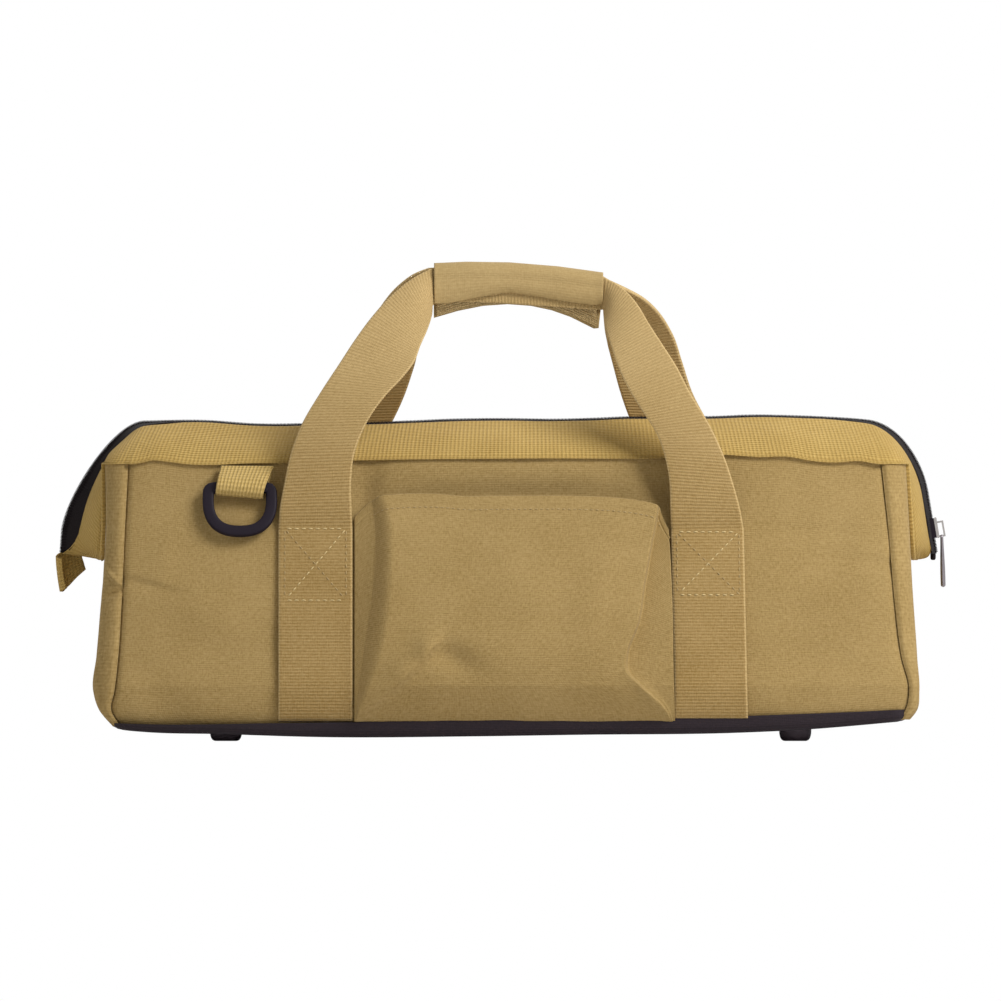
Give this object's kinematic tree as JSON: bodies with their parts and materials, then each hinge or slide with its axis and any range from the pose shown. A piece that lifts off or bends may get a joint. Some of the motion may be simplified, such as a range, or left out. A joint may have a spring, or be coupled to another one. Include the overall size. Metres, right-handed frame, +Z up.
{
  "type": "tool organizer bag",
  "caption": "Open-frame canvas tool bag with a zipped mouth, webbing carry handles in a wrapped grip, a front bellows pocket and a side D-ring.",
  "frame": {"origin": "under the middle of the bag, on the plane that its feet stand on", "axes": "+X along the bag's length towards the zip slider, +Z up; the pocket's face looks to -Y"},
  "size_m": [0.5758, 0.2111, 0.3114],
  "materials": {
    "tan_canvas": "matt cotton canvas",
    "tan_webbing": "ribbed cotton webbing",
    "black_cloth": "matt woven cloth",
    "black_plastic": "satin moulded plastic",
    "black_rubber": "matt rubber",
    "steel": "satin",
    "lining": "matt woven lining",
    "fibre_board": "pressed fibre board"
  },
  "bodies": {
    "bag": {"front_panel": "tan_canvas", "back_panel": "tan_canvas", "left_end_panel": "tan_canvas", "right_end_panel": "tan_canvas", "base_panel": "black_cloth", "base_board": "fibre_board", "front_trim_band": "tan_webbing", "back_trim_band": "tan_webbing", "front_pocket": "tan_canvas", "front_inner_pockets": "lining", "back_inner_pockets": "lining", "front_left_handle_leg": "tan_webbing", "front_right_handle_leg": "tan_webbing", "back_left_handle_leg": "tan_webbing", "back_right_handle_leg": "tan_webbing", "d_ring_tab": "tan_webbing", "left_pivot_rivet": "steel", "right_pivot_rivet": "steel", "left_end_tab": "tan_webbing", "zip_end_stop": "black_cloth", "foot_front_left": "black_rubber", "foot_washer_front_left": "steel", "foot_front_right": "black_rubber", "foot_washer_front_right": "steel", "foot_back_left": "black_rubber", "foot_washer_back_left": "steel", "foot_back_right": "black_rubber", "foot_washer_back_right": "steel", "front_left_zip_end_tape": "black_cloth", "front_left_zip_end_teeth": "black_plastic", "front_right_zip_end_tape": "black_cloth", "front_right_zip_end_teeth": "black_plastic", "back_left_zip_end_tape": "black_cloth", "back_left_zip_end_teeth": "black_plastic", "back_right_zip_end_tape": "black_cloth", "back_right_zip_end_teeth": "black_plastic"},
    "mouth_front": {"front_frame_bar": "steel", "front_zip_tape": "black_cloth", "front_zip_teeth": "black_plastic"},
    "mouth_back": {"back_frame_bar": "steel", "back_zip_tape": "black_cloth", "back_zip_teeth": "black_plastic"},
    "slider": {"zip_slider": "black_plastic"},
    "puller": {"zip_puller": "steel"},
    "handle_front": {"front_handle_loop": "tan_webbing"},
    "handle_back": {"back_handle_loop": "tan_webbing", "grip_wrap": "tan_canvas"},
    "flap": {"grip_flap": "tan_canvas"},
    "ring": {"d_ring": "black_plastic"}
  },
  "joints": [
    {"name": "mouth_front_swing", "type": "hinge", "parent": "bag", "child": "mouth_front", "pos_m": [0, 0, 0.126], "axis": [1, 0, 0], "range_deg": [0, 30], "deforming": ["front_trim_band", "front_right_zip_end_tape", "front_right_zip_end_teeth", "front_left_zip_end_tape", "front_left_zip_end_teeth", "left_end_tab"]},
    {"name": "mouth_back_swing", "type": "hinge", "parent": "bag", "child": "mouth_back", "pos_m": [0, 0, 0.126], "axis": [-1, 0, 0], "range_deg": [0, 30], "deforming": ["back_trim_band", "back_right_zip_end_tape", "back_right_zip_end_teeth", "back_left_zip_end_tape", "back_left_zip_end_teeth", "left_end_tab"]},
    {"name": "zip_slide", "type": "slide", "parent": "bag", "child": "slider", "axis": [-0.165, 0, 0.9863], "range_m": [0, 0.016], "deforming": ["front_right_zip_end_tape", "front_right_zip_end_teeth", "back_right_zip_end_tape", "back_right_zip_end_teeth"]},
    {"name": "puller_swing", "type": "hinge", "parent": "slider", "child": "puller", "pos_m": [0.28333, 0, 0.13491], "axis": [0, -1, 0], "range_deg": [0, 110]},
    {"name": "front_handle_swing", "type": "hinge", "parent": "bag", "child": "handle_front", "pos_m": [0, -0.06899, 0.13915], "axis": [1, 0, 0], "range_deg": [0, 140], "deforming": ["grip_flap"]},
    {"name": "back_handle_swing", "type": "hinge", "parent": "bag", "child": "handle_back", "pos_m": [0, 0.06899, 0.13915], "axis": [-1, 0, 0], "range_deg": [0, 140], "deforming": ["grip_flap"]},
    {"name": "grip_flap_open", "type": "hinge", "parent": "handle_back", "child": "flap", "pos_m": [0, 0, 0.3112], "axis": [-1, 0, 0], "range_deg": [0, 100]},
    {"name": "d_ring_swing", "type": "hinge", "parent": "bag", "child": "ring", "pos_m": [-0.173, -0.0621, 0.1645], "axis": [-1, 0, 0], "range_deg": [0, 150]}
  ]
}
